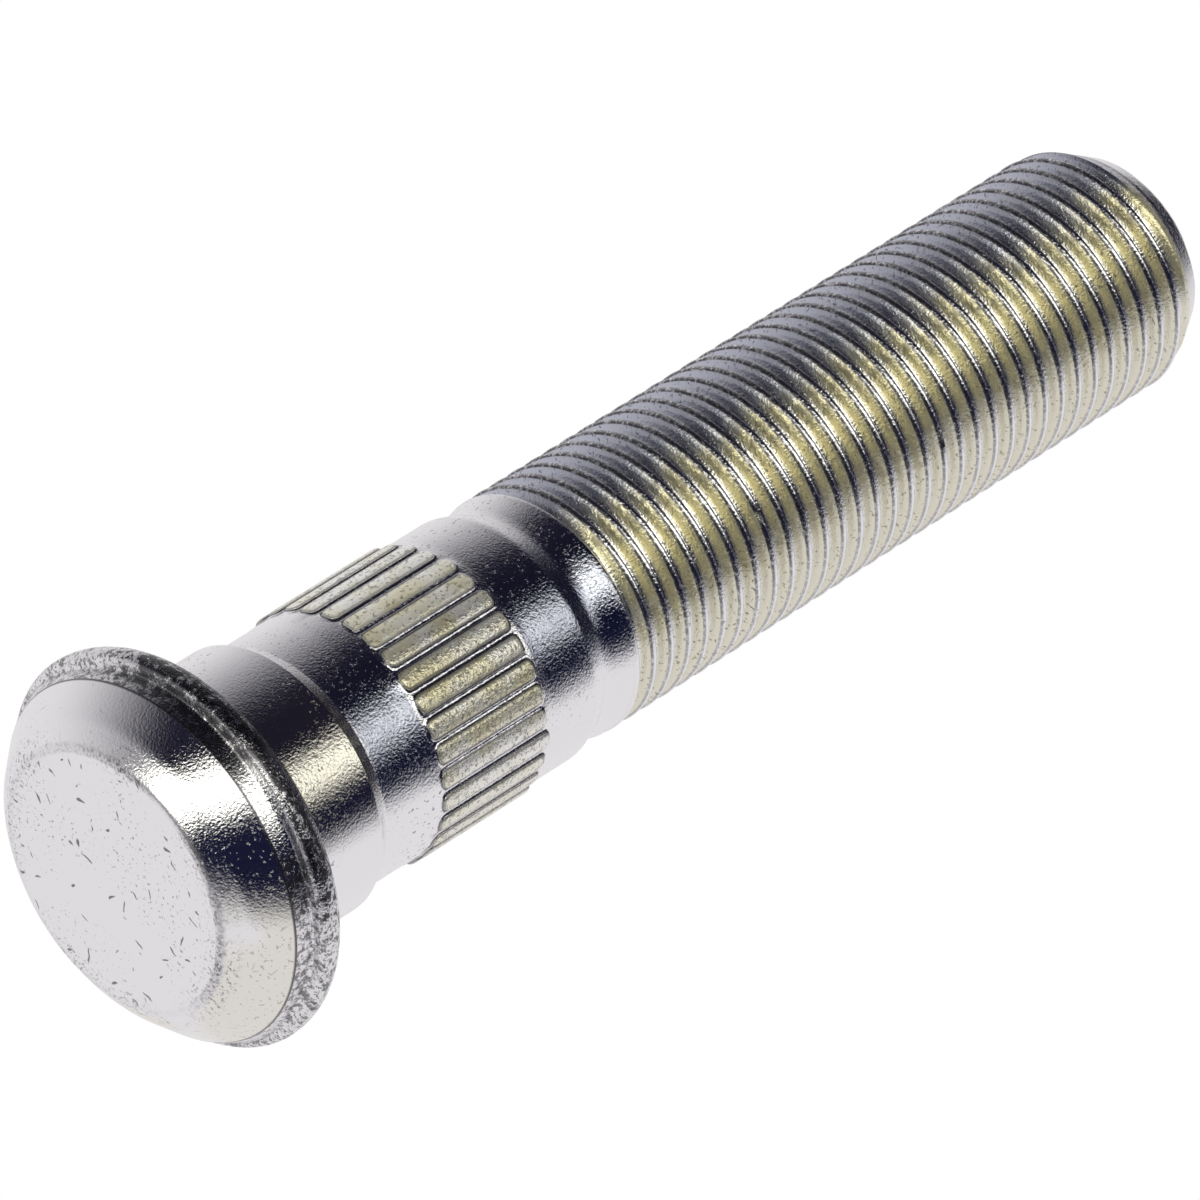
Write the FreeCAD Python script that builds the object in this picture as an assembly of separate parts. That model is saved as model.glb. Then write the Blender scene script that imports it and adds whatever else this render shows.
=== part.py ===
import FreeCAD, Part
import math
import os

# A press-in wheel stud, forged, turned, knurled and thread-rolled from one bar of steel.
# It stands on the flat end of its head at z = 0, with its axis on +Z and the thread at the top.
# Lengths are in millimetres.

# Head: a flat round end, a bevel in two slopes, a short upright wall, and the lip where the forging
# dies met. The lip's edge rounds over in two slopes to the flat seat that bears on the hub flange.
head_diameter = 25.44
head_height = 6.45
end_face_diameter = 17.1
end_face_edge_radius = 0.6
bevel_break_diameter = 20.1
bevel_break_height = 1.05
bevel_break_radius = 3.0
wall_base_diameter = 23.3
wall_base_height = 2.9
wall_top_diameter = 23.5
lip_thickness = 2.3
lip_edge_chamfer = 0.25
seat_edge_width = 1.1
seat_edge_height = 1.55
seat_edge_break_width = 0.3
seat_edge_break_height = 0.75

# Collar under the head, and the short cone that steps down from it to the shank.
collar_diameter = 17.55
collar_length = 6.65
collar_root_chamfer = 0.4
step_length = 1.0

# Plain shank between the step and the knurl. It flares a little where the knurl was rolled.
shank_diameter = 16.25
shank_length = 4.4
flare_length = 1.3

# Knurl: straight flat-topped ridges that bite into the bore of the hub when the stud is pressed in.
knurl_diameter = 16.88
knurl_root_diameter = 16.4
knurl_length = 9.2
ridge_count = 32
groove_top_width = 0.47
ridge_flank_angle = 30.0
ridge_end_angle = 50.0
ridge_corner_cut = 0.35
ridge_end_inset = 0.15
ridge_root_depth = 0.3

# Plain land after the knurl, and the waist where the bar necks down before the thread.
land_diameter = 16.25
land_length = 4.1
land_run_out_length = 0.3
waist_diameter = 15.2
waist_fall_length = 1.3
waist_flat_length = 0.6
waist_rise_length = 1.5
waist_edge_radius = 1.6

# Thread M16 x 1.5, here as the plain cylinder of its crests, with a cone at the lead-in end.
thread_diameter = 15.95
thread_length = 51.6
lead_in_angle = 30.0
tip_diameter = 12.7

# Heights of the shoulders, stacked up from the end face of the head.
lip_base = head_height - lip_thickness
collar_top = head_height + collar_length
step_top = collar_top + step_length
knurl_base = step_top + shank_length
knurl_top = knurl_base + knurl_length
land_top = knurl_top + land_length
waist_base = land_top + waist_fall_length
waist_top = waist_base + waist_flat_length
thread_base = waist_top + waist_rise_length
overall_length = thread_base + thread_length

UP = FreeCAD.Vector(0, 0, 1)
CENTRE = FreeCAD.Vector(0, 0, 0)


def rounded_wire(corners):
    """A closed wire through corners given as (point, radius), each corner rounded by its radius."""
    count = len(corners)
    starts = []
    ends = []
    edges = []
    for index, (point, radius) in enumerate(corners):
        before = (corners[index - 1][0] - point).normalize()
        after = (corners[(index + 1) % count][0] - point).normalize()
        if radius == 0:
            starts.append(point)
            ends.append(point)
            continue
        half_angle = before.getAngle(after) / 2
        reach = radius / math.tan(half_angle)
        start = point + before * reach
        end = point + after * reach
        bisector = (before + after).normalize()
        middle = point + bisector * (radius / math.sin(half_angle) - radius)
        edges.append(Part.Arc(start, middle, end).toShape())
        starts.append(start)
        ends.append(end)
    for index in range(count):
        start = ends[index]
        end = starts[(index + 1) % count]
        edges.append(Part.LineSegment(start, end).toShape())
    return Part.Wire(Part.__sortEdges__(edges))


def turned(section):
    """The solid turned from a half section of (diameter, height, corner radius)."""
    corners = [(FreeCAD.Vector(diameter / 2, 0, height), radius) for diameter, height, radius in section]
    return Part.Face(rounded_wire(corners)).revolve(CENTRE, UP, 360)


def make_bar():
    """The whole stud without its knurl ridges: head, collar, shank, land, waist and thread."""
    lead_in_length = (thread_diameter - tip_diameter) / 2 / math.tan(math.radians(lead_in_angle))
    section = [
        (0, 0, 0),
        (end_face_diameter, 0, end_face_edge_radius),
        (bevel_break_diameter, bevel_break_height, bevel_break_radius),
        (wall_base_diameter, wall_base_height, 0),
        (wall_top_diameter, lip_base, 0),
        (head_diameter - 2 * lip_edge_chamfer, lip_base, 0),
        (head_diameter, lip_base + lip_edge_chamfer, 0),
        (head_diameter, head_height - seat_edge_height, 0),
        (head_diameter - 2 * seat_edge_break_width, head_height - seat_edge_break_height, 0),
        (head_diameter - 2 * seat_edge_width, head_height, 0),
        (collar_diameter + 2 * collar_root_chamfer, head_height, 0),
        (collar_diameter, head_height + collar_root_chamfer, 0),
        (collar_diameter, collar_top, 0),
        (shank_diameter, step_top, 0),
        (shank_diameter, knurl_base - flare_length, 0),
        (knurl_root_diameter, knurl_base, 0),
        (knurl_root_diameter, knurl_top, 0),
        (land_diameter, knurl_top + land_run_out_length, 0),
        (land_diameter, land_top, waist_edge_radius),
        (waist_diameter, waist_base, waist_edge_radius),
        (waist_diameter, waist_top, waist_edge_radius),
        (thread_diameter, thread_base, waist_edge_radius),
        (thread_diameter, overall_length - lead_in_length, 0),
        (tip_diameter, overall_length, 0),
        (0, overall_length, 0),
    ]
    return turned(section)


def ridge_outline(radius):
    """The corners of a ridge's outline, on a plane that faces out along X at this radius."""
    top_width = math.pi * knurl_diameter / ridge_count - groove_top_width
    flank_slope = math.tan(math.radians(ridge_flank_angle))
    end_slope = math.tan(math.radians(ridge_end_angle))
    half_width = top_width / 2 + (knurl_diameter / 2 - radius) * flank_slope
    foot_length = knurl_length / 2 - ridge_end_inset
    half_length = foot_length - (radius - knurl_root_diameter / 2) * end_slope
    upper_right = [
        (half_width, half_length - ridge_corner_cut),
        (half_width - ridge_corner_cut, half_length),
    ]
    upper_left = [(-across, along) for across, along in reversed(upper_right)]
    lower = [(-across, -along) for across, along in upper_right + upper_left]
    middle = (knurl_base + knurl_top) / 2
    return [FreeCAD.Vector(radius, across, middle + along) for across, along in upper_right + upper_left + lower]


def make_ridge():
    """One knurl ridge on the +X side: sloping flanks and ends, and a top on the knurl's own diameter."""
    inner = ridge_outline(knurl_root_diameter / 2 - ridge_root_depth)
    outer = ridge_outline(knurl_diameter / 2 + ridge_root_depth)
    sides = [[inner[i - 1], inner[i], outer[i], outer[i - 1]] for i in range(len(inner))]
    outlines = sides + [outer, inner[::-1]]
    faces = [Part.Face(Part.makePolygon(outline + outline[:1])) for outline in outlines]
    block = Part.Solid(Part.Shell(faces))
    return block.common(Part.makeCylinder(knurl_diameter / 2, overall_length))


def make_knurl():
    """All the ridges, spaced evenly round the axis."""
    first = make_ridge()
    ridges = []
    for index in range(ridge_count):
        ridge = first.copy()
        ridge.rotate(CENTRE, UP, 360 * index / ridge_count)
        ridges.append(ridge)
    return ridges


def make_wheel_stud():
    """The stud as one solid."""
    return make_bar().multiFuse(make_knurl()).removeSplitter()


os.makedirs("parts", exist_ok=True)
wheel_stud = make_wheel_stud()
wheel_stud.exportStep("parts/wheel_stud.step")
print("wheel_stud", wheel_stud.isValid(), len(wheel_stud.Solids), round(wheel_stud.Volume, 1), "mm3")
print("overall", round(overall_length, 2), "mm long,", head_diameter, "mm across the head")
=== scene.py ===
"""The looks of a press-in wheel stud of zinc-plated steel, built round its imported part.

The stud stands on the flat end of its head with its axis on +Z. One detailed mesh stands for the
plain solid: it adds the rolled thread, the rounded knurl ridges and the small knocks of handling.
Azimuths round the stud start at the side that faces the camera (-Y) and grow towards +X.
Lengths are in metres.
"""

import bisect
import logging
import math
from dataclasses import dataclass
from enum import Enum
from typing import Any, Iterable, Sequence

import bmesh
import bpy
from bmesh.types import BMesh
from bpy.types import NodeSocket as Socket
from mathutils import Matrix, Vector, noise

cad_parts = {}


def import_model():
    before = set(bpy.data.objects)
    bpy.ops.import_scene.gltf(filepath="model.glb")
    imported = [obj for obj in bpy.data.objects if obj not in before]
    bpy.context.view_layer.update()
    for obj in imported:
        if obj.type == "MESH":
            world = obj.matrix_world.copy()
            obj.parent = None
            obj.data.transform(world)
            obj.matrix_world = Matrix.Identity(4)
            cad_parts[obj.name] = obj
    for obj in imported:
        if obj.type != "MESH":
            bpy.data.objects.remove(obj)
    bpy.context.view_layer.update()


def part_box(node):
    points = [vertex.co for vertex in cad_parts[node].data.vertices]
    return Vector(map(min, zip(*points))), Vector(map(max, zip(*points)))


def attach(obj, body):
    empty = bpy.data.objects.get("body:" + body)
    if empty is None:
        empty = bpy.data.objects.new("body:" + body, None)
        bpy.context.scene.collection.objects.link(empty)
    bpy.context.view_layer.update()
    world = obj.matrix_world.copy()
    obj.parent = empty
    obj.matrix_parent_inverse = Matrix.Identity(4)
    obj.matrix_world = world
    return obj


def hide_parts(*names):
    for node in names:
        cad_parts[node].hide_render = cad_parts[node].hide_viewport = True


LOG = logging.getLogger("wheel_stud")
MM = 0.001
NODE = "wheel_stud"
BODY = "root"


def smooth_step(low: float, high: float, value: float) -> float:
    """Ease from 0 where the value is at low to 1 where it is at high."""
    share = min(max((value - low) / (high - low), 0.0), 1.0)
    return share * share * (3.0 - 2.0 * share)


def azimuth_of(point: Vector) -> float:
    """The azimuth of a point in radians, 0 at -Y and growing towards +X."""
    return math.atan2(point.x, -point.y)


def put_in_scene(name: str, data: Any) -> bpy.types.Object:
    """Add an object that shows this data to the scene, at the origin."""
    added = bpy.data.objects.new(name, data)
    bpy.context.scene.collection.objects.link(added)
    return added


def settle(mesh: BMesh, name: str) -> bpy.types.Object:
    """Turn a finished bmesh into an object of the scene.

    Args:
        mesh: The bmesh, which is freed.
        name: The name of the mesh and the object.

    Returns:
        The object, at the origin.
    """
    data = bpy.data.meshes.new(name)
    mesh.to_mesh(data)
    mesh.free()
    return put_in_scene(name, data)


def put_at(vertex: bmesh.types.BMVert, azimuth: float, radius: float, height: float) -> None:
    """Move a vertex to an azimuth in radians, a distance from the axis and a height."""
    vertex.co = Vector((radius * math.sin(azimuth), -radius * math.cos(azimuth), height))


@dataclass(frozen=True)
class Corner:
    """A corner of a half section, with its rounding."""

    radius: float
    height: float
    rounding: float = 0.0
    steps: int = 3


class Outline:
    """The half section of a turned stretch, as corners that may be rounded."""

    def __init__(self, corners: Sequence[Corner]) -> None:
        """Work out the section's points.

        Args:
            corners: The corners in order along the section. The first and last aren't rounded.
        """
        self.points: list[Vector] = []
        last = len(corners) - 1
        for index, corner in enumerate(corners):
            place = self._place(corner)
            if corner.rounding == 0.0 or index in (0, last):
                self.points.append(place)
                continue
            before = self._place(corners[index - 1]) - place
            after = self._place(corners[index + 1]) - place
            self.points.extend(self._arc(place, before.normalized(), after.normalized(), corner))

    @staticmethod
    def _place(corner: Corner) -> Vector:
        """The corner's point in the section's plane."""
        return Vector((corner.radius, 0.0, corner.height))

    @staticmethod
    def _arc(place: Vector, before: Vector, after: Vector, corner: Corner) -> list[Vector]:
        """The points of the arc that rounds a corner.

        Args:
            place: The sharp corner.
            before: The direction to the corner before it.
            after: The direction to the corner after it.
            corner: Gives the arc's radius and number of steps.

        Returns:
            The arc's points, from the first tangent point to the second.
        """
        half = before.angle(after) / 2.0
        centre = place + (before + after).normalized() * (corner.rounding / math.sin(half))
        reach = corner.rounding / math.tan(half)
        first = place + before * reach - centre
        second = place + after * reach - centre
        turn = first.rotation_difference(second)
        axis, angle = turn.axis, turn.angle
        points = []
        for step in range(corner.steps + 1):
            points.append(centre + Matrix.Rotation(angle * step / corner.steps, 3, axis) @ first)
        return points

    def radius_at(self, height: float) -> float:
        """The section's radius at a height, on a stretch where heights only grow.

        Args:
            height: The height to look up.

        Returns:
            The radius there.
        """
        place = bisect.bisect_left(self.points, height, key=lambda point: point.z)
        if place == 0:
            return self.points[0].x
        if place == len(self.points):
            return self.points[-1].x
        low, high = self.points[place - 1], self.points[place]
        return low.x + (high.x - low.x) * (height - low.z) / (high.z - low.z)


@dataclass(frozen=True)
class StudSizes:
    """Sizes that more than one stretch of the stud needs."""

    length: float
    head_radius: float
    shank_radius: float = 8.125 * MM
    land_radius: float = 8.125 * MM
    waist_radius: float = 7.6 * MM
    knurl_base: float = 18.5 * MM
    knurl_top: float = 27.7 * MM
    columns: int = 192

    @classmethod
    def from_frame(cls) -> "StudSizes":
        """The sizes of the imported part: its length and its head's radius come from its box."""
        low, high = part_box(NODE)
        return cls(length=high.z - low.z, head_radius=(high.x - low.x) / 2.0)


class Stretch:
    """A stretch of the stud that is turned from a half section."""

    def __init__(self, sizes: StudSizes) -> None:
        """Keep the shared sizes."""
        self.sizes = sizes

    def outline(self) -> Outline:
        """The half section of the stretch."""
        raise NotImplementedError

    def turn(self, mesh: BMesh, columns: int) -> list[bmesh.types.BMVert]:
        """Turn the half section round the axis.

        Args:
            mesh: The mesh that takes the stretch.
            columns: The number of steps round the axis.

        Returns:
            The vertices that were made.
        """
        count_before = len(mesh.verts)
        chain = [mesh.verts.new((0.0, -point.x, point.z)) for point in self.outline().points]
        links = [mesh.edges.new(pair) for pair in zip(chain, chain[1:])]
        bmesh.ops.spin(
            mesh, geom=chain + links, cent=(0, 0, 0), axis=(0, 0, 1), dvec=(0, 0, 0),
            angle=2.0 * math.pi, steps=columns, use_merge=True, use_duplicate=False,
        )
        mesh.verts.ensure_lookup_table()
        return [mesh.verts[index] for index in range(count_before, len(mesh.verts))]


@dataclass
class HeadSizes:
    """Sizes of the head, the collar and the plain shank."""

    end_face_radius: float = 8.55 * MM
    end_face_rounding: float = 0.9 * MM
    break_radius: float = 10.05 * MM
    break_height: float = 1.05 * MM
    break_rounding: float = 3.0 * MM
    wall_base_radius: float = 11.65 * MM
    wall_base: float = 2.9 * MM
    wall_base_rounding: float = 0.12 * MM
    wall_top_radius: float = 11.75 * MM
    lip_base: float = 4.15 * MM
    lip_root_rounding: float = 0.2 * MM
    lip_rounding: float = 0.45 * MM
    height: float = 6.45 * MM
    seat_rounding: float = 1.8 * MM
    collar_radius: float = 8.775 * MM
    collar_root_rounding: float = 0.4 * MM
    collar_top: float = 13.1 * MM
    collar_edge_rounding: float = 0.25 * MM
    step_top: float = 14.1 * MM
    step_root_rounding: float = 0.5 * MM
    end: float = 16.1 * MM
    offset: float = 0.2 * MM
    wall_front: tuple[float, float] = (0.35, -0.3)
    wall_fill: float = 0.8


class Head(Stretch):
    """The head with the collar, its step and the lower half of the shank."""

    def __init__(self, sizes: StudSizes) -> None:
        """Take the head's own sizes."""
        super().__init__(sizes)
        self.own = HeadSizes()

    def outline(self) -> Outline:
        """The half section from the middle of the end face up to the shank."""
        own = self.own
        rim = self.sizes.head_radius
        shank = self.sizes.shank_radius
        face = [Corner(own.end_face_radius * share, 0.0) for share in (0.0, 0.25, 0.5, 0.75)]
        return Outline(face + [
            Corner(own.end_face_radius, 0.0, own.end_face_rounding, 4),
            Corner(own.break_radius, own.break_height, own.break_rounding, 3),
            Corner(own.wall_base_radius, own.wall_base, own.wall_base_rounding, 2),
            Corner(own.wall_top_radius, own.lip_base, own.lip_root_rounding, 3),
            Corner(rim, own.lip_base, own.lip_rounding, 5),
            Corner(rim, own.height, own.seat_rounding, 8),
            Corner(own.collar_radius, own.height, own.collar_root_rounding, 4),
            Corner(own.collar_radius, own.collar_top, own.collar_edge_rounding, 3),
            Corner(shank, own.step_top, own.step_root_rounding, 3),
            Corner(shank, own.end),
        ])

    def build(self, mesh: BMesh) -> None:
        """Turn the head, flatten its wall behind and set its edge a little off the axis, as the forging is.

        Args:
            mesh: The mesh that takes the head.
        """
        own = self.own
        collar_root = own.collar_radius + own.collar_root_rounding
        for vertex in self.turn(mesh, self.sizes.columns):
            radius = vertex.co.xy.length
            height = vertex.co.z
            if own.wall_base < height < own.lip_base + own.lip_rounding:
                azimuth = azimuth_of(vertex.co)
                share = (height - own.wall_base) / (own.lip_base + own.lip_rounding - own.wall_base)
                bevel = own.wall_base_radius + (self.sizes.head_radius - own.wall_base_radius) * share
                fill = own.wall_fill * smooth_step(*own.wall_front, math.cos(azimuth))
                radius += max(bevel - radius, 0.0) * fill
                put_at(vertex, azimuth, radius, height)
            if height < own.height + 0.01 * MM and (height < own.lip_base or radius > collar_root):
                vertex.co.x += own.offset * smooth_step(collar_root, self.sizes.head_radius, radius)


@dataclass
class KnurlSizes:
    """Sizes of the knurl's ridges."""

    ridges: int = 32
    top_radius: float = 8.44 * MM
    root_radius: float = 8.2 * MM
    flare: float = 1.3 * MM
    run_out: float = 0.35 * MM
    groove_share: float = 0.13
    flank_width: float = 0.25 * MM
    end_rounding: float = 0.5 * MM
    end_width: float = 0.3 * MM
    inset: float = 0.15 * MM
    crown: float = 0.08 * MM
    start: float = 16.6 * MM
    end: float = 28.4 * MM
    end_spread: float = 0.22 * MM
    column_places: tuple[float, ...] = (0.5, 0.4425, 0.36, 0.325, 0.22, 0.11, 0.0)
    end_rows: tuple[float, ...] = (0.0, 0.07, 0.15, 0.25, 0.4, 0.6, 0.9)


class Knurl(Stretch):
    """The knurl: straight ridges with rounded ends, round a slightly flared root."""

    def __init__(self, sizes: StudSizes) -> None:
        """Take the knurl's own sizes."""
        super().__init__(sizes)
        self.own = KnurlSizes()
        half = list(self.own.column_places)
        self.places = half + [-place for place in reversed(half[1:-1])]

    def outline(self) -> Outline:
        """The half section of the root, with rows close together at the ridges' ends."""
        own = self.own
        base = self.sizes.knurl_base
        top = self.sizes.knurl_top
        ends = [row * MM + own.inset for row in own.end_rows]
        heights = [base + row for row in ends]
        heights += [base + (top - base) * share for share in (0.2, 0.35, 0.5, 0.65, 0.8)]
        heights += [top - row for row in reversed(ends)]
        corners = [
            Corner(self.sizes.shank_radius, own.start),
            Corner(self.sizes.shank_radius, base - own.flare, 6.0 * MM, 3),
            Corner(own.root_radius, base),
        ]
        corners += [Corner(own.root_radius, height) for height in heights]
        corners += [
            Corner(own.root_radius, top),
            Corner(self.sizes.land_radius, top + own.run_out),
            Corner(self.sizes.land_radius, own.end),
        ]
        return Outline(corners)

    def ridge_height(self, across: float, along: float, ridge: int) -> float:
        """How far the surface stands above the knurl's root.

        Args:
            across: The distance from the ridge's middle line, round the stud.
            along: The distance from the knurl's middle, along the stud.
            ridge: The ridge's number, which varies its ends a little.

        Returns:
            The height above the root.
        """
        own = self.own
        full = own.top_radius - own.root_radius
        pitch = 2.0 * math.pi * own.top_radius / own.ridges
        half_width = pitch * (0.5 - own.groove_share / 2.0)
        end_shift = noise.noise(Vector((ridge * 1.7, 4.0 if along > 0 else 9.0, 0.5))) * own.end_spread
        half_length = (self.sizes.knurl_top - self.sizes.knurl_base) / 2.0 - own.inset + end_shift
        out_across = abs(across) - (half_width - own.end_rounding)
        out_along = abs(along) - (half_length - own.end_rounding)
        outside = math.hypot(max(out_across, 0.0), max(out_along, 0.0))
        outside += min(max(out_across, out_along), 0.0)
        inside = own.end_rounding - outside
        ramp = own.end_width if out_along > out_across else own.flank_width
        share = min(max(inside / ramp, 0.0), 1.0)
        rise = math.sin(share * math.pi / 2.0)
        crown = own.crown * (1.0 - (across / half_width) ** 2) * rise
        return full * rise - own.crown * rise + max(crown, 0.0)

    def build(self, mesh: BMesh) -> None:
        """Turn the root and raise its ridges.

        Args:
            mesh: The mesh that takes the knurl.
        """
        own = self.own
        per_ridge = len(self.places)
        columns = own.ridges * per_ridge
        step = 2.0 * math.pi / own.ridges
        middle = (self.sizes.knurl_base + self.sizes.knurl_top) / 2.0
        for vertex in self.turn(mesh, columns):
            column = round(azimuth_of(vertex.co) / (2.0 * math.pi) * columns) % columns
            ridge, place = divmod(column, per_ridge)
            share = -self.places[place] if place else -0.5
            azimuth = step * (ridge + 0.5 + share)
            across = share * 2.0 * math.pi * own.top_radius / own.ridges
            radius = vertex.co.xy.length
            if self.sizes.knurl_base < vertex.co.z < self.sizes.knurl_top:
                radius += self.ridge_height(across, vertex.co.z - middle, ridge)
            put_at(vertex, azimuth, radius, vertex.co.z)


@dataclass
class NeckSizes:
    """Sizes of the land after the knurl and the waist before the thread."""

    start: float = 28.9 * MM
    land_top: float = 31.8 * MM
    waist_base: float = 33.1 * MM
    waist_top: float = 33.7 * MM
    waist_rounding: float = 1.6 * MM


@dataclass
class ThreadSizes:
    """Sizes of the M16 x 1.5 thread. Depths and roundings are shares of the pitch."""

    pitch: float = 1.5 * MM
    crest_radius: float = 7.975 * MM
    depth: float = 0.6
    crest_rounding: float = 0.165
    root_rounding: float = 0.1
    flank_angle: float = math.radians(30.0)
    crest_height: float = 57.8 * MM
    start: float = 34.4 * MM
    shoulder: float = 35.2 * MM
    run_in: float = 2.2 * MM
    lead_in_angle: float = math.radians(30.0)
    tip_radius: float = 6.35 * MM
    tip_rounding: float = 0.25 * MM


class Neck(Stretch):
    """The land and the waist, up to where the thread starts."""

    def __init__(self, sizes: StudSizes, thread: ThreadSizes) -> None:
        """Take the neck's own sizes, and the thread's that it runs into."""
        super().__init__(sizes)
        self.own = NeckSizes()
        self.thread = thread

    def whole(self) -> Outline:
        """The half section from the land, over the waist, to the tip, without the thread's grooves."""
        own = self.own
        crest = self.thread.crest_radius
        lead_in = (crest - self.thread.tip_radius) / math.tan(self.thread.lead_in_angle)
        waist = self.sizes.waist_radius
        return Outline([
            Corner(self.sizes.land_radius, own.start),
            Corner(self.sizes.land_radius, own.land_top, own.waist_rounding, 4),
            Corner(waist, own.waist_base, own.waist_rounding, 4),
            Corner(waist, own.waist_top, own.waist_rounding, 4),
            Corner(crest, self.thread.shoulder, own.waist_rounding, 4),
            Corner(crest, self.sizes.length - lead_in, 0.4 * MM, 3),
            Corner(self.thread.tip_radius, self.sizes.length, self.thread.tip_rounding, 4),
            Corner(0.0, self.sizes.length),
        ])

    def outline(self) -> Outline:
        """The half section from the land to the start of the thread."""
        whole = self.whole()
        cut = self.thread.start
        kept = Outline([Corner(point.x, point.z) for point in whole.points if point.z < cut - 0.02 * MM])
        kept.points.append(Vector((whole.radius_at(cut), 0.0, cut)))
        return kept


@dataclass(frozen=True)
class Knock:
    """A small dent that handling has left on the thread's crests."""

    azimuth: float
    height: float
    width: float
    depth: float


class Thread(Stretch):
    """The rolled thread, its lead-in cone and the tip's end face."""

    KNOCKS: tuple[Knock, ...] = tuple(Knock(turn, height * MM, width * MM, depth * MM)
                                      for turn, height, width, depth in (
        (-8.0, 42.1, 0.55, 0.16),
        (-30.0, 46.5, 0.5, 0.14),
        (-22.0, 49.3, 0.7, 0.2),
        (14.0, 47.1, 0.6, 0.18),
        (22.0, 49.7, 0.8, 0.2),
        (28.0, 51.3, 0.5, 0.16),
        (30.0, 62.5, 0.5, 0.14),
        (-15.0, 73.7, 0.6, 0.16),
        (120.0, 54.5, 0.7, 0.2),
        (165.0, 66.0, 0.8, 0.2),
        (-140.0, 43.5, 0.6, 0.18),
        (-100.0, 70.5, 0.6, 0.16),
    ))

    def __init__(self, sizes: StudSizes, own: ThreadSizes, envelope: Outline) -> None:
        """Keep the thread's sizes and the outline that its grooves are cut into.

        Args:
            sizes: The shared sizes.
            own: The thread's sizes.
            envelope: The stud's outline without grooves.
        """
        super().__init__(sizes)
        self.own = own
        self.envelope = envelope
        self.end = max(point.z for point in envelope.points)

    def outline(self) -> Outline:
        """The half section of the tip's end face, from its edge to the axis."""
        rim = self.envelope.points[-2].x
        return Outline([Corner(rim * share, self.end) for share in (1.0, 0.7, 0.35, 0.0)])

    def groove_profile(self) -> list[Vector]:
        """One pitch of the thread's section, from crest to crest.

        Returns:
            Points whose x is the radius and whose z is the height above the first crest.
        """
        own = self.own
        side = math.pi / 2.0 - own.flank_angle
        crest = own.crest_rounding * own.pitch
        root = own.root_rounding * own.pitch
        top = own.crest_radius - crest
        bottom = own.crest_radius - own.depth * own.pitch + root
        points = []
        for share in (0.0, 0.5, 1.0):
            rise = crest * math.sin(side * share)
            points.append(Vector((top + crest * math.cos(side * share), 0.0, rise)))
        for share in (1.0, 0.0):
            drop = root * math.cos(side * share)
            points.append(Vector((bottom - drop, 0.0, own.pitch / 2.0 - root * math.sin(side * share))))
        flank = (points[2] + points[3]) / 2.0
        points.insert(3, flank)
        mirrored = [Vector((point.x, 0.0, own.pitch - point.z)) for point in reversed(points[:-1])]
        return points + mirrored

    def knock_depth(self, azimuth: float, height: float) -> float:
        """How deep the dents are at a point of the crests.

        Args:
            azimuth: The point's azimuth in radians.
            height: The point's height.

        Returns:
            The depth of the dent there.
        """
        depth = 0.0
        for knock in self.KNOCKS:
            rise = height - knock.height
            if abs(rise) > 2.0 * knock.width:
                continue
            turn = math.remainder(azimuth - math.radians(knock.azimuth), 2.0 * math.pi)
            across = turn * self.own.crest_radius
            distance = math.hypot(across, rise) / knock.width
            depth += knock.depth * math.exp(-(distance ** 2) * 2.0)
        return depth

    def surface_radius(self, azimuth: float, height: float, grooved: float) -> float:
        """The radius of the threaded surface at a point.

        Args:
            azimuth: The point's azimuth in radians.
            height: The point's height.
            grooved: The radius of the full thread there.

        Returns:
            The radius, with the thread's run-in, the lead-in cone and the dents.
        """
        own = self.own
        crest = own.crest_radius
        cut = smooth_step(own.start + 0.3 * MM, own.start + own.run_in, height)
        radius = crest - (crest - grooved) * cut
        place = Vector((math.sin(azimuth) * 3.0, math.cos(azimuth) * 3.0, height / own.pitch * 0.9))
        wear = noise.noise(place * 2.3) * 0.012 * MM + self.knock_depth(azimuth, height) * cut
        radius = min(radius, crest - max(wear, -0.01 * MM) * cut)
        return min(radius, self.envelope.radius_at(height))

    def build(self, mesh: BMesh) -> None:
        """Screw one turn of the section, repeat it along the stud and fit it between its ends.

        Args:
            mesh: The mesh that takes the thread.
        """
        own = self.own
        columns = self.sizes.columns
        below = math.ceil((own.crest_height - own.start) / own.pitch) + 1
        first = own.crest_height - below * own.pitch
        turns = math.ceil((self.end - first) / own.pitch) + 1
        strip = bmesh.new()
        chain = [strip.verts.new((0.0, -point.x, first + point.z)) for point in self.groove_profile()]
        links = [strip.edges.new(pair) for pair in zip(chain, chain[1:])]
        bmesh.ops.spin(
            strip, geom=chain + links, cent=(0, 0, 0), axis=(0, 0, 1), dvec=(0, 0, own.pitch / columns),
            angle=2.0 * math.pi, steps=columns, use_merge=False, use_duplicate=False,
        )
        turn = strip.verts[:] + strip.edges[:] + strip.faces[:]
        for index in range(1, turns):
            copy = bmesh.ops.duplicate(strip, geom=turn)["geom"]
            moved = [item for item in copy if isinstance(item, bmesh.types.BMVert)]
            bmesh.ops.translate(strip, vec=(0.0, 0.0, own.pitch * index), verts=moved)
        bmesh.ops.remove_doubles(strip, verts=strip.verts, dist=0.005 * MM)
        for vertex in strip.verts:
            azimuth = azimuth_of(vertex.co)
            height = min(max(vertex.co.z, own.start), self.end)
            radius = self.surface_radius(azimuth, height, vertex.co.xy.length)
            put_at(vertex, azimuth, radius, height)
        bmesh.ops.remove_doubles(strip, verts=strip.verts, dist=0.002 * MM)
        bmesh.ops.dissolve_degenerate(strip, edges=strip.edges, dist=0.0005 * MM)
        copied = bpy.data.meshes.new("thread_strip")
        strip.to_mesh(copied)
        strip.free()
        mesh.from_mesh(copied)
        bpy.data.meshes.remove(copied)
        self.turn(mesh, columns)


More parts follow.
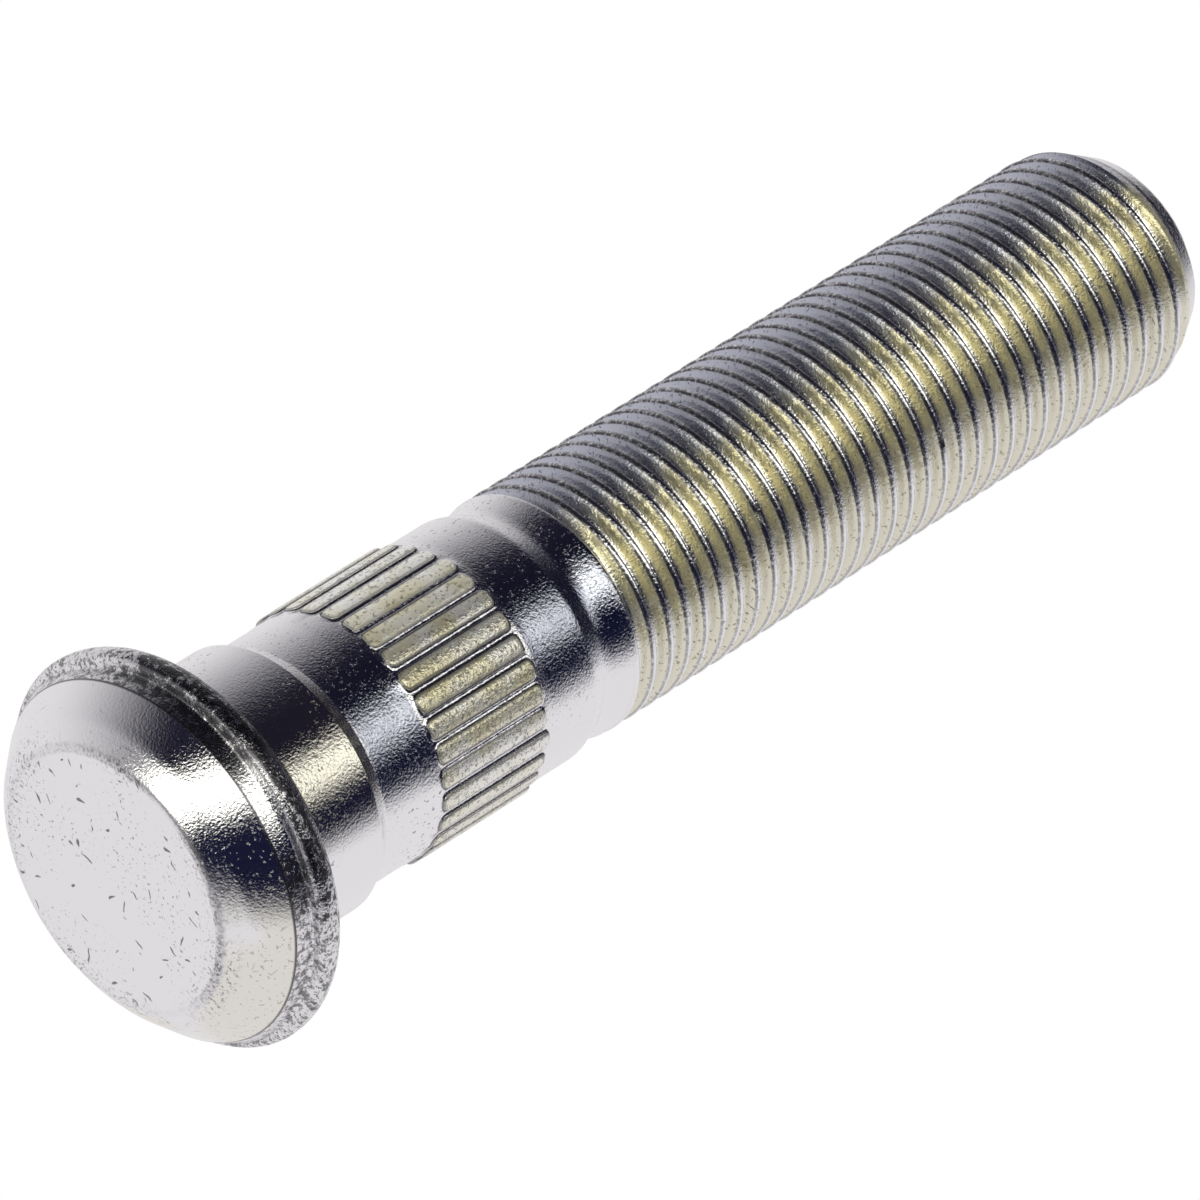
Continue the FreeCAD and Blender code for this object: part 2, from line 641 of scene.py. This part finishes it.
class Value:
    """A number in a shader, with Python operators that add its Math nodes."""

    def __init__(self, graph: "Graph", socket: Socket) -> None:
        """Keep the socket and the graph that it is in."""
        self.graph = graph
        self.socket = socket

    def __add__(self, other: "Value | float") -> "Value":
        """The sum."""
        return self.graph.math("ADD", self, other)

    def __radd__(self, other: float) -> "Value":
        """The sum, with the number first."""
        return self.graph.math("ADD", other, self)

    def __sub__(self, other: "Value | float") -> "Value":
        """The difference."""
        return self.graph.math("SUBTRACT", self, other)

    def __rsub__(self, other: float) -> "Value":
        """The difference, with the number first."""
        return self.graph.math("SUBTRACT", other, self)

    def __mul__(self, other: "Value | float") -> "Value":
        """The product."""
        return self.graph.math("MULTIPLY", self, other)

    def __rmul__(self, other: float) -> "Value":
        """The product, with the number first."""
        return self.graph.math("MULTIPLY", other, self)

    def __truediv__(self, other: "Value | float") -> "Value":
        """The quotient."""
        return self.graph.math("DIVIDE", self, other)

    def __abs__(self) -> "Value":
        """The value without its sign."""
        return self.graph.math("ABSOLUTE", self)

    def power(self, exponent: float) -> "Value":
        """The value raised to a power."""
        return self.graph.math("POWER", self, exponent)

    def highest(self, *others: "Value | float") -> "Value":
        """The largest of this and the others."""
        result = self
        for other in others:
            result = self.graph.math("MAXIMUM", result, other)
        return result

    def lowest(self, other: "Value | float") -> "Value":
        """The smaller of this and another."""
        return self.graph.math("MINIMUM", self, other)

    def step(self, low: float, high: float) -> "Value":
        """Ease from 0 at low to 1 at high.

        Args:
            low: Where the step starts. It may lie above high, for a falling step.
            high: Where the step ends.

        Returns:
            A share from 0 to 1.
        """
        if low > high:
            return 1.0 - self.step(high, low)
        inputs = {"Value": self, "From Min": low, "From Max": high}
        return self.graph.value("ShaderNodeMapRange", {"interpolation_type": "SMOOTHSTEP"}, inputs)

    def band(self, low: float, high: float, edge: float) -> "Value":
        """Be 1 between low and high and 0 beyond them, with each end eased by edge to both sides."""
        return self.step(low - edge, low + edge) * self.step(high + edge, high - edge)


class Graph:
    """One node tree, with short ways to add to it."""

    def __init__(self, owner: bpy.types.Material | bpy.types.World) -> None:
        """Empty the node tree of a material or a world."""
        owner.use_nodes = True
        self.tree = owner.node_tree
        self.tree.nodes.clear()

    def node(self, kind: str, settings: dict[str, Any] | None = None,
             inputs: dict[str | int, Any] | None = None) -> bpy.types.Node:
        """Add a node.

        Args:
            kind: The node's type.
            settings: The node's own settings, which are set first.
            inputs: The values or links of its sockets, by name or number.

        Returns:
            The node.
        """
        node = self.tree.nodes.new(kind)
        for name, value in (settings or {}).items():
            setattr(node, name, value)
        for name, value in (inputs or {}).items():
            socket = node.inputs[name]
            if isinstance(value, Value):
                self.tree.links.new(value.socket, socket)
            elif isinstance(value, Socket):
                self.tree.links.new(value, socket)
            else:
                socket.default_value = value
        return node

    def value(self, kind: str, settings: dict[str, Any] | None = None,
              inputs: dict[str | int, Any] | None = None, output: str | int = 0) -> Value:
        """Add a node and take one of its outputs as a number."""
        return Value(self, self.node(kind, settings, inputs).outputs[output])

    def math(self, operation: str, first: "Value | float", second: "Value | float" = 0.0) -> Value:
        """Add a Math node and take its result."""
        return self.value("ShaderNodeMath", {"operation": operation}, {0: first, 1: second})

    def mix(self, factor: Value, low: Any, high: Any) -> Socket:
        """Mix two colours.

        Args:
            factor: The share of the second colour.
            low: The first colour, as a tuple or a socket.
            high: The second colour.

        Returns:
            The mixed colour's socket.
        """
        node = self.node("ShaderNodeMix", {"data_type": "RGBA"})
        self.tree.links.new(factor.socket, node.inputs[0])
        for index, colour in ((6, low), (7, high)):
            if isinstance(colour, Socket):
                self.tree.links.new(colour, node.inputs[index])
            else:
                node.inputs[index].default_value = (*colour, 1.0)
        return node.outputs[2]

    def noise(self, place: Socket, scale: float, detail: float = 2.0,
              roughness: float = 0.5) -> Value:
        """Add a noise pattern, about 0.5 on average, with so many lumps in a metre."""
        inputs = {"Vector": place, "Scale": scale, "Detail": detail, "Roughness": roughness}
        return self.value("ShaderNodeTexNoise", {"noise_dimensions": "3D"}, inputs)

    def finish(self, kind: str, shader: bpy.types.Node) -> None:
        """Add the output node of this kind and feed it the shader."""
        self.node(kind, None, {"Surface": shader.outputs[0]})


class Zones:
    """Where on the stud a point is, as masks from 0 to 1."""

    soft: float = 0.1 * MM

    def __init__(self, graph: Graph, sizes: StudSizes, head: HeadSizes, knurl: KnurlSizes,
                 thread: ThreadSizes) -> None:
        """Add the masks to a material.

        Args:
            graph: The material's node graph.
            sizes: The shared sizes.
            head: The head's sizes.
            knurl: The knurl's sizes.
            thread: The thread's sizes.
        """
        self.place = graph.node("ShaderNodeTexCoord").outputs["Object"]
        split = graph.node("ShaderNodeSeparateXYZ", None, {0: self.place})
        across, depth, self.height = (Value(graph, split.outputs[index]) for index in range(3))
        self.radius = (across * across + depth * depth).power(0.5)
        self.side = across / self.radius
        self.depth = depth / self.radius
        self.front = self.depth.step(0.0, -0.3)
        self.facing = self.depth.step(-0.80, -0.97)
        self.flanks = self.side.step(0.40, 0.70) + self.side.step(-0.55, -0.80)
        self.mark_head(sizes, head)
        self.mark_knurl(sizes, knurl)
        self.mark_thread(graph, thread)
        self.tip = self.height.step(sizes.length - 0.2 * MM, sizes.length - 0.05 * MM)
        self.collar = self.height.step(head.height, head.height + 0.2 * MM)
        self.collar *= self.height.step(head.step_top, head.collar_top)
        self.bar = self.height.step(head.step_top, head.step_top + 0.3 * MM)
        self.bar = (self.bar - self.knurl - self.thread).highest(0.0)

    def mark_head(self, sizes: StudSizes, head: HeadSizes) -> None:
        """Mark the end face, its edge, the bevel, the crease beside it, the lip and all of the rim.

        Args:
            sizes: The shared sizes.
            head: The head's sizes.
        """
        height, radius = self.height, self.radius
        face, rim, wall = head.end_face_radius, sizes.head_radius, head.wall_top_radius
        foot, top, soft = head.wall_base, head.height, self.soft
        self.face = height.step(0.3 * MM, 0.05 * MM)
        self.face_edge = self.face * radius.step(face - 0.45 * MM, face - 0.2 * MM)
        self.face_border = radius.band(face - 0.9 * MM, face + 1.2 * MM, 0.4 * MM)
        self.face_border *= height.step(0.9 * MM, 0.6 * MM)
        self.bevel = height.step(foot + soft, foot)
        self.crease = height.band(foot - 0.05 * MM, foot + 0.1 * MM, 0.05 * MM)
        self.crease *= radius.step(head.wall_base_radius - 0.6 * MM, head.wall_base_radius - 0.3 * MM)
        self.lip = height.step(head.lip_base - 0.1 * MM, head.lip_base + 0.15 * MM)
        self.lip *= height.step(top + soft, top)
        self.lip *= radius.step(wall - 0.1 * MM, wall + 0.3 * MM)
        self.lip_below = self.lip * radius.step(rim - 0.02 * MM, rim - 0.2 * MM)
        self.rim = height.step(foot - soft, foot + soft)
        self.rim *= height.step(top, top - soft)

    def mark_knurl(self, sizes: StudSizes, knurl: KnurlSizes) -> None:
        """Mark the knurl, the tops of its ridges, the tops' edges and the sides of the grooves.

        Args:
            sizes: The shared sizes.
            knurl: The knurl's sizes.
        """
        radius, root = self.radius, knurl.root_radius
        edge = knurl.top_radius - knurl.crown
        self.knurl = self.height.band(sizes.knurl_base, sizes.knurl_top, self.soft)
        self.ridge = self.knurl * radius.step(edge - 0.07 * MM, edge - 0.02 * MM)
        self.ridge_edge = self.ridge * radius.step(knurl.top_radius - 0.03 * MM, edge + 0.01 * MM)
        self.groove = self.knurl * radius.step(root + 0.01 * MM, root + 0.05 * MM) - self.ridge

    def mark_thread(self, graph: Graph, thread: ThreadSizes) -> None:
        """Mark the thread, its flanks, its crests, the rings beside the crests that get painted shade, and
        the side where a blue reflection and shade are painted.

        Args:
            graph: The material's node graph.
            thread: The thread's sizes.
        """
        radius, crest = self.radius, thread.crest_radius
        root = crest - thread.depth * thread.pitch
        self.thread = self.height.step(thread.start + 0.6 * MM, thread.start + 2.0 * MM)
        self.flank = self.thread * radius.step(root + 0.1 * MM, root + 0.3 * MM)
        self.flank *= radius.step(crest - 0.05 * MM, crest - 0.2 * MM)
        self.crest = self.thread * radius.step(crest - 0.07 * MM, crest - 0.03 * MM)
        # Rings on both sides of the crest's top, where painted shade lines go.
        self.crest_shade_ring = self.thread * radius.step(crest - 0.19 * MM, crest - 0.13 * MM)
        self.crest_shade_ring *= radius.step(crest - 0.015 * MM, crest - 0.05 * MM)
        drift = graph.noise(self.place, 300.0, 2.0) - 0.5
        # The -X side, with a noisy edge: its flanks get a painted blue reflection and its crests painted
        # shade.
        self.painted_blue_side = (self.side + drift * 0.5).step(-0.28, -0.66)


@dataclass(frozen=True)
class Stroke:
    """A family of short scratches that run the same way."""

    turn: float
    scale: float
    length: float
    share: float
    core: tuple[float, float] = (0.34, 0.2)


@dataclass(frozen=True)
class Patterns:
    """The patterns that the finish is made from."""

    fine: Value
    coarse: Value
    patch: Value
    cloud: Value
    fleck: Value
    clump: Value


@dataclass(frozen=True)
class ZincPlate:
    """Bright zinc plate over steel, with a faint yellow passivation where it was rolled, and painted
    reflections, highlights and shade that change round the stud.
    """

    silver: tuple[float, float, float] = (0.90, 0.90, 0.92)
    gold: tuple[float, float, float] = (0.72, 0.67, 0.43)
    # Blue-grey painted reflection, for where the shank faces -Y and for the flanks on the -X side.
    painted_blue_reflection: tuple[float, float, float] = (0.42, 0.45, 0.55)
    # Near black, for pits, grime and scratches and for painted shade.
    grime_and_shade: tuple[float, float, float] = (0.015, 0.013, 0.022)
    roughness: float = 0.08
    grain_height: float = 0.036 * MM
    drift_scale: float = 900.0
    bend: float = 0.8 * MM
    strokes: tuple[Stroke, ...] = (
        Stroke(0.3, 620.0, 6.0, 0.865),
        Stroke(0.9, 520.0, 8.0, 0.855),
        Stroke(1.6, 700.0, 5.0, 0.865),
        Stroke(2.3, 900.0, 3.0, 0.875),
        Stroke(2.9, 560.0, 7.0, 0.860),
    )

    @staticmethod
    def patterns(graph: Graph, place: Socket) -> Patterns:
        """Add the noise patterns at these coordinates."""
        return Patterns(
            fine=graph.noise(place, 6200.0, 2.0, 0.55),
            coarse=graph.noise(place, 3800.0, 3.0, 0.7),
            patch=graph.noise(place, 420.0, 2.0),
            cloud=graph.noise(place, 130.0, 2.0),
            fleck=graph.noise(place, 3600.0, 2.0, 0.6),
            clump=graph.noise(place, 1500.0, 5.0, 0.75),
        )

    def scratches(self, graph: Graph, place: Socket) -> Value:
        """Short fine scratches, as the middles of stretched cells.

        Args:
            graph: The material's node graph.
            place: The coordinates.

        Returns:
            1 in a scratch and 0 elsewhere.
        """
        drift = graph.node("ShaderNodeTexNoise", {"noise_dimensions": "3D"}, {
            "Vector": place, "Scale": self.drift_scale, "Detail": 1.0,
        })
        bent = graph.node("ShaderNodeVectorMath", {"operation": "MULTIPLY_ADD"}, {
            0: drift.outputs["Color"], 1: (self.bend, self.bend, self.bend), 2: place,
        })
        marks = None
        for stroke in self.strokes:
            width = 1.0 / stroke.scale / stroke.length
            turned = graph.node("ShaderNodeMapping", {"vector_type": "TEXTURE"}, {
                "Vector": bent.outputs[0],
                "Rotation": (0.0, 0.0, stroke.turn),
                "Scale": (1.0 / stroke.scale, width, width),
            })
            cells = graph.node("ShaderNodeTexVoronoi", None, {"Vector": turned.outputs[0], "Scale": 1.0})
            kept = Value(graph, cells.outputs["Color"]).step(stroke.share, stroke.share + 0.01)
            mark = Value(graph, cells.outputs["Distance"]).step(*stroke.core) * kept
            marks = mark if marks is None else marks.highest(mark)
        return marks

    @staticmethod
    def passivation_and_painted_warmth(zones: Zones, patterns: Patterns) -> Value:
        """How much yellow there is: passivation on ridges and thread flanks, thinned by side as painted
        shade, and a painted warm reflection on collar and bevel.

        Args:
            zones: Where a point is.
            patterns: The noise patterns.

        Returns:
            A share from 0 to 1.
        """
        side, patch = zones.side, patterns.patch
        # Ridges: passivation, thinned at the stud's two sides as painted shade. Flanks: kept off the painted
        # blue side and thinned towards +X as painted light.
        ridges = zones.ridge * (0.35 + 0.6 * patch.step(0.3, 0.7)) * (1.0 - 0.45 * zones.flanks)
        flanks = zones.flank * (1.0 - zones.painted_blue_side) * (1.0 - 0.45 * (side + patch * 0.6).step(0.60, 0.95))
        # A painted warm reflection on the bevel's +X side and where the collar faces -Y.
        bevel = zones.bevel * (1.0 - zones.face) * side.step(0.2, 0.6) * patterns.cloud.step(0.42, 0.6)
        return (ridges + flanks).lowest(1.0).highest(zones.collar * zones.facing * 0.45, bevel * 0.3)

    @staticmethod
    def head_grime_and_shade(zones: Zones, patterns: Patterns, scratches: Value) -> Value:
        """The dark marks on the head: grime on its lip and wall with painted shade that eases at the sides
        and leaves a painted highlight patch, painted shade in the crease between bevel and wall, a dark ring
        on the face's edge, specks near the face's border and scratches.

        Args:
            zones: Where a point is.
            patterns: The noise patterns.
            scratches: The pattern of scratches.

        Returns:
            A share from 0 to 1.
        """
        # A patch on the front, a little towards +X, where wall and lip underside are left bright as a
        # painted highlight.
        painted_highlight_patch = abs(zones.side - 0.12).step(0.32, 0.14) * zones.front
        # The two sides, where the painted shade on lip and wall is lighter.
        pale = zones.side.step(0.30, 0.75) + zones.side.step(-0.72, -0.92)
        mottle = (patterns.clump - 0.06 * pale).step(0.44, 0.52) * (1.0 - 0.2 * pale)
        mottle = mottle.highest((patterns.coarse - 0.02 * pale).step(0.52, 0.58) * 0.8)
        # Grime mottle over an even share of painted shade, lighter at the sides.
        dark = (0.40 - 0.32 * pale + mottle).lowest(1.0)
        lip = zones.lip * dark * (1.0 - zones.lip_below * painted_highlight_patch) * 0.95
        wall = zones.rim * dark * (1.0 - painted_highlight_patch) * 0.85
        # A dark ring on the face's rounded edge, broken by noise: painted shade, heavier towards -Y.
        edge = zones.face_edge * patterns.cloud.step(0.3, 0.6) * (0.2 + 0.8 * zones.depth.step(0.2, -0.6))
        edge = edge * (0.25 + 0.6 * patterns.coarse.step(0.45, 0.6))
        border = zones.face_border * patterns.coarse.step(0.55, 0.63) * patterns.cloud.step(0.42, 0.56) * 0.6
        strokes = scratches * (zones.face + 0.25 * zones.bevel).lowest(1.0) * 0.75
        # The crease gets an even line of painted shade.
        return lip.highest(wall, zones.crease * 0.85, edge, border, strokes)

    @staticmethod
    def bar_grime_and_shade(zones: Zones, patterns: Patterns) -> Value:
        """The dark marks on the knurl and the thread: grit and specks, and painted shade in bands round the
        front flanks, beside and on the crests, along the ridges' edges and in the grooves.

        Args:
            zones: Where a point is.
            patterns: The noise patterns.

        Returns:
            A share from 0 to 1.
        """
        # Painted dark reflection bands round the front flanks, set by azimuth and broken by noise.
        drifted = zones.side + (patterns.patch - 0.5) * 0.5
        painted_dark_bands = drifted.band(-0.46, -0.16, 0.12) + 0.6 * drifted.band(0.36, 0.52, 0.1)
        painted_dark_bands = zones.flank * zones.front * painted_dark_bands * patterns.clump.step(0.42, 0.56) * 0.55
        dashes = 0.5 + 0.5 * patterns.coarse.step(0.40, 0.52)
        # Painted shade lines beside the crests, dashed, lighter towards +X.
        lines = zones.crest_shade_ring * dashes * 0.9 * (1.0 - 0.5 * zones.side.step(0.5, 0.9))
        # Painted shade on the crests of the -X side, broken by noise.
        crests = zones.crest * zones.painted_blue_side * patterns.coarse.step(0.36, 0.5) * 0.7
        # Grit on the ridge tops, and painted shade along their edges.
        grit_and_edge_shade = (zones.ridge * patterns.coarse.step(0.54, 0.61) * 0.55).highest(zones.ridge_edge * 0.5)
        flank_specks = zones.flank * patterns.fleck.step(0.60, 0.66) * 0.45
        # The grooves get even painted shade.
        return painted_dark_bands.highest(lines, crests, grit_and_edge_shade, flank_specks, zones.groove * 0.75)

    def make(self, sizes: StudSizes, head: HeadSizes, knurl: KnurlSizes,
             thread: ThreadSizes) -> bpy.types.Material:
        """Make the plated finish.

        Args:
            sizes: The shared sizes.
            head: The head's sizes.
            knurl: The knurl's sizes.
            thread: The thread's sizes.

        Returns:
            The material.
        """
        material = bpy.data.materials.new("zinc_plate")
        graph = Graph(material)
        zones = Zones(graph, sizes, head, knurl, thread)
        patterns = self.patterns(graph, zones.place)

        # Painted blue reflection: on the shank where it faces -Y and on the thread's flanks on the -X side.
        painted_blue_reflection = (zones.bar * zones.facing * 0.8).highest(zones.flank * zones.painted_blue_side * 0.75)
        specks = patterns.fleck.step(0.635, 0.68) * patterns.cloud.step(0.40, 0.62)
        specks = specks * (1.0 - 0.4 * zones.bevel * (1.0 - zones.face))
        # Pits, grime and scratches together with painted shade.
        grime_and_shade = (specks * 0.6).highest(self.bar_grime_and_shade(zones, patterns))
        grime_and_shade = grime_and_shade.highest(self.head_grime_and_shade(zones, patterns, self.scratches(graph, zones.place)))

        colour = graph.mix(self.passivation_and_painted_warmth(zones, patterns), self.silver, self.gold)
        colour = graph.mix(painted_blue_reflection, colour, self.painted_blue_reflection)
        colour = graph.mix(grime_and_shade, colour, self.grime_and_shade)
        # Less metal lets the white world light these parts evenly: a base share on the ridges for wear, more
        # on the ridges of the -X side and on the flanks away from the painted blue side as painted light.
        warm = zones.flank * (1.0 - zones.painted_blue_side)
        worn_and_painted_bright = zones.ridge * (0.25 + 0.3 * zones.side.step(-0.25, -0.6))
        roughness = self.roughness + 0.1 * zones.face + 0.08 * zones.ridge + 0.12 * zones.flank
        roughness = roughness + 0.4 * zones.tip + 0.2 * grime_and_shade
        strength = 1.0 - 0.4 * zones.bevel - 0.2 * zones.face - 0.3 * zones.collar + 0.6 * zones.lip
        strength = strength * (1.0 - 0.5 * zones.flanks)
        relief = patterns.fine * strength + patterns.coarse * zones.ridge * 1.7 - specks * 0.5
        bump = graph.node("ShaderNodeBump", None, {
            "Strength": 1.0, "Distance": self.grain_height, "Height": relief,
        })
        shader = graph.node("ShaderNodeBsdfPrincipled", None, {
            "Base Color": colour,
            "Metallic": 1.0 - worn_and_painted_bright - 0.25 * warm - 0.4 * zones.tip,
            "Roughness": roughness.lowest(0.8),
            "Normal": bump.outputs["Normal"],
        })
        graph.finish("ShaderNodeOutputMaterial", shader)
        return material


class WheelStud:
    """The whole stud: its stretches joined into one closed mesh, and its finish."""

    def __init__(self) -> None:
        """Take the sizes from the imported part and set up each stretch."""
        self.sizes = StudSizes.from_frame()
        self.head = Head(self.sizes)
        self.knurl = Knurl(self.sizes)
        thread = ThreadSizes()
        self.neck = Neck(self.sizes, thread)
        self.thread = Thread(self.sizes, thread, self.neck.whole())

    @staticmethod
    def ring(mesh: BMesh, height: float) -> list[bmesh.types.BMEdge]:
        """The edges of the mesh's open ring at a height."""
        near = 0.01 * MM
        return [
            edge for edge in mesh.edges
            if edge.is_boundary and all(abs(vertex.co.z - height) < near for vertex in edge.verts)
        ]

    def build(self) -> bpy.types.Object:
        """Build the stud's mesh.

        Returns:
            The finished object, at the origin.
        """
        mesh = bmesh.new()
        self.head.build(mesh)
        self.knurl.build(mesh)
        self.neck.turn(mesh, self.sizes.columns)
        self.thread.build(mesh)
        bmesh.ops.remove_doubles(mesh, verts=mesh.verts, dist=0.002 * MM)
        head, knurl, neck = self.head.own, self.knurl.own, self.neck.own
        for low, high in ((head.end, knurl.start), (knurl.end, neck.start)):
            bmesh.ops.bridge_loops(mesh, edges=self.ring(mesh, low) + self.ring(mesh, high))
        bmesh.ops.recalc_face_normals(mesh, faces=mesh.faces)
        if mesh.calc_volume(signed=True) < 0:
            bmesh.ops.reverse_faces(mesh, faces=mesh.faces)
        open_edges = sum(1 for edge in mesh.edges if len(edge.link_faces) != 2)
        for face in mesh.faces:
            face.smooth = True
        triangles = sum(len(face.verts) - 2 for face in mesh.faces)
        LOG.info("wheel stud: %d triangles, %d open edges, %.0f mm3", triangles, open_edges,
                 mesh.calc_volume() / MM ** 3)
        stud = settle(mesh, "wheel_stud_detailed")
        stud.data.materials.append(ZincPlate().make(self.sizes, head, knurl, self.thread.own))
        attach(stud, BODY)
        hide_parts(NODE)
        return stud


class Side(Enum):
    """The sides of the studio that the plate mirrors, and how bright each is."""

    LAMP = (2.8, 2.75, 2.5)
    PALE = (0.80, 0.78, 0.79)
    GLOW = (1.4, 1.38, 1.32)
    BLUE = (0.006, 0.007, 0.028)
    BLACK = (0.010, 0.009, 0.022)


@dataclass
class Studio:
    """The pale floor, the soft light round the stud and what its plate mirrors."""

    floor_size: float = 12.0
    floor_gap: float = 0.1 * MM
    floor_white: float = 0.93
    shadow_reach: float = 100.0 * MM
    shadow_fade: float = 200.0 * MM
    lean: float = 0.267
    lamp_centre: float = -0.015
    lamp_core: float = 0.06
    lamp_reach: float = 0.28
    soft_lamp_size: float = 0.5
    soft_lamp_power: float = 1.6
    soft_lamp_place: tuple[float, float, float] = (-0.35, -0.3, 0.75)

    def mirrored(self, graph: Graph, direction: Socket) -> Socket:
        """What the plate sees in a direction: a tall soft lamp between dark cards, and pale walls behind.

        Args:
            graph: The world's node graph.
            direction: The direction's socket.

        Returns:
            The colour's socket.
        """
        split = graph.node("ShaderNodeSeparateXYZ", None, {0: direction})
        x, y, z = (Value(graph, split.outputs[index]) for index in range(3))
        right = (x - self.lean * z).step(-0.05, 0.2)
        wall_right = (y + 0.8 * x.highest(0.0)).step(0.10, 0.55)
        wall_left = (y + 0.42).highest(0.0).step(0.0, 1.25).power(0.8)
        wall = right * wall_right + (1.0 - right) * wall_left
        wall = wall * z.step(0.96, 0.88)
        wall = wall * (1.0 - 0.4 * z.step(-0.78, -0.92) * y.step(0.0, 0.2))
        lamp = abs(x - self.lean * z - self.lamp_centre).step(self.lamp_reach, self.lamp_core)
        lamp = lamp * y.step(0.25, -0.05) * z.step(0.85, 0.7)
        dark = graph.mix(right, Side.BLACK.value, Side.BLUE.value)
        colour = graph.mix(wall, dark, Side.PALE.value)
        shine = graph.mix(z.step(0.2, 0.5), Side.LAMP.value, Side.GLOW.value)
        return graph.mix(lamp, colour, shine)

    def light(self) -> None:
        """Set the world: white to the camera, even light on the floor, and the studio in the plate."""
        world = bpy.data.worlds.new("studio")
        bpy.context.scene.world = world
        graph = Graph(world)
        direction = graph.node("ShaderNodeTexCoord").outputs["Generated"]
        glossy = Value(graph, graph.node("ShaderNodeLightPath").outputs["Is Glossy Ray"])
        colour = graph.mix(glossy, (1.0, 1.0, 1.0), self.mirrored(graph, direction))
        background = graph.node("ShaderNodeBackground", None, {"Color": colour, "Strength": 1.0})
        graph.finish("ShaderNodeOutputWorld", background)

    def lay_floor(self) -> None:
        """Lay the floor just under the head. From below it is clear, so that the head can be seen."""
        mesh = bmesh.new()
        bmesh.ops.create_grid(mesh, x_segments=1, y_segments=1, size=self.floor_size / 2.0)
        bmesh.ops.translate(mesh, vec=(0.0, 0.0, -self.floor_gap), verts=mesh.verts)
        floor = settle(mesh, "floor")
        floor.visible_glossy = False
        floor.visible_diffuse = False
        floor.visible_shadow = False
        material = bpy.data.materials.new("floor_pale")
        graph = Graph(material)
        below = graph.node("ShaderNodeNewGeometry").outputs["Backfacing"]
        clear = graph.node("ShaderNodeBsdfTransparent")
        shade = self.floor_white
        pale = graph.node("ShaderNodeBsdfDiffuse", None, {"Color": (shade, shade, shade, 1.0)})
        white = graph.node("ShaderNodeEmission", None, {"Color": (1.0, 1.0, 1.0, 1.0), "Strength": 1.0})
        place = graph.node("ShaderNodeTexCoord").outputs["Object"]
        distance = graph.value("ShaderNodeVectorMath", {"operation": "LENGTH"}, {0: place}, "Value")
        seen = Value(graph, graph.node("ShaderNodeLightPath").outputs["Is Camera Ray"])
        far = distance.step(self.shadow_reach, self.shadow_reach + self.shadow_fade) * seen
        above = graph.node("ShaderNodeMixShader", None, {0: far, 1: pale.outputs[0], 2: white.outputs[0]})
        mixed = graph.node("ShaderNodeMixShader", None, {0: below, 1: above.outputs[0], 2: clear.outputs[0]})
        graph.finish("ShaderNodeOutputMaterial", mixed)
        floor.data.materials.append(material)

    def hang_lamp(self) -> None:
        """Hang one large soft lamp above on the left, which lights the floor and casts the shadow."""
        data = bpy.data.lights.new("soft_lamp", "AREA")
        data.shape = "DISK"
        data.size = self.soft_lamp_size
        data.energy = self.soft_lamp_power
        lamp = put_in_scene("soft_lamp", data)
        place = Vector(self.soft_lamp_place)
        lamp.matrix_world = Matrix.Translation(place) @ place.to_track_quat("Z", "Y").to_matrix().to_4x4()
        lamp.visible_glossy = False


@dataclass
class Viewpoint:
    """The camera: far off, with a long lens, below the head, rolled so that the stud leans to the right."""

    aim: tuple[float, float, float] = (1.18 * MM, 0.0, 39.8 * MM)
    distance: float = 814.5 * MM
    lens: float = 414.0
    sensor_width: float = 36.0
    clip_end: float = 20.0
    elevation: float = math.radians(-36.0)
    roll: float = math.radians(57.82)

    def place(self) -> bpy.types.Object:
        """Place the camera and make it the scene's.

        Returns:
            The camera's object.
        """
        data = bpy.data.cameras.new("camera")
        data.lens = self.lens
        data.sensor_width = self.sensor_width
        data.clip_end = self.clip_end
        camera = put_in_scene("camera", data)
        turn = Matrix.Rotation(math.pi / 2.0 - self.elevation, 4, "X") @ Matrix.Rotation(self.roll, 4, "Z")
        back = turn.to_3x3() @ Vector((0.0, 0.0, 1.0))
        camera.matrix_world = Matrix.Translation(Vector(self.aim) + back * self.distance) @ turn
        bpy.context.scene.camera = camera
        return camera


def main() -> None:
    """Load the frame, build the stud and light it."""
    logging.basicConfig(level=logging.INFO, format="%(name)s: %(message)s")
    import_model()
    bpy.context.scene.view_settings.view_transform = "Standard"
    stud = WheelStud().build()
    LOG.info("built %s", stud.name)
    studio = Studio()
    studio.light()
    studio.lay_floor()
    studio.hang_lamp()
    camera = Viewpoint().place()
    LOG.info("placed %s", camera.name)


if __name__ == "__main__":
    main()
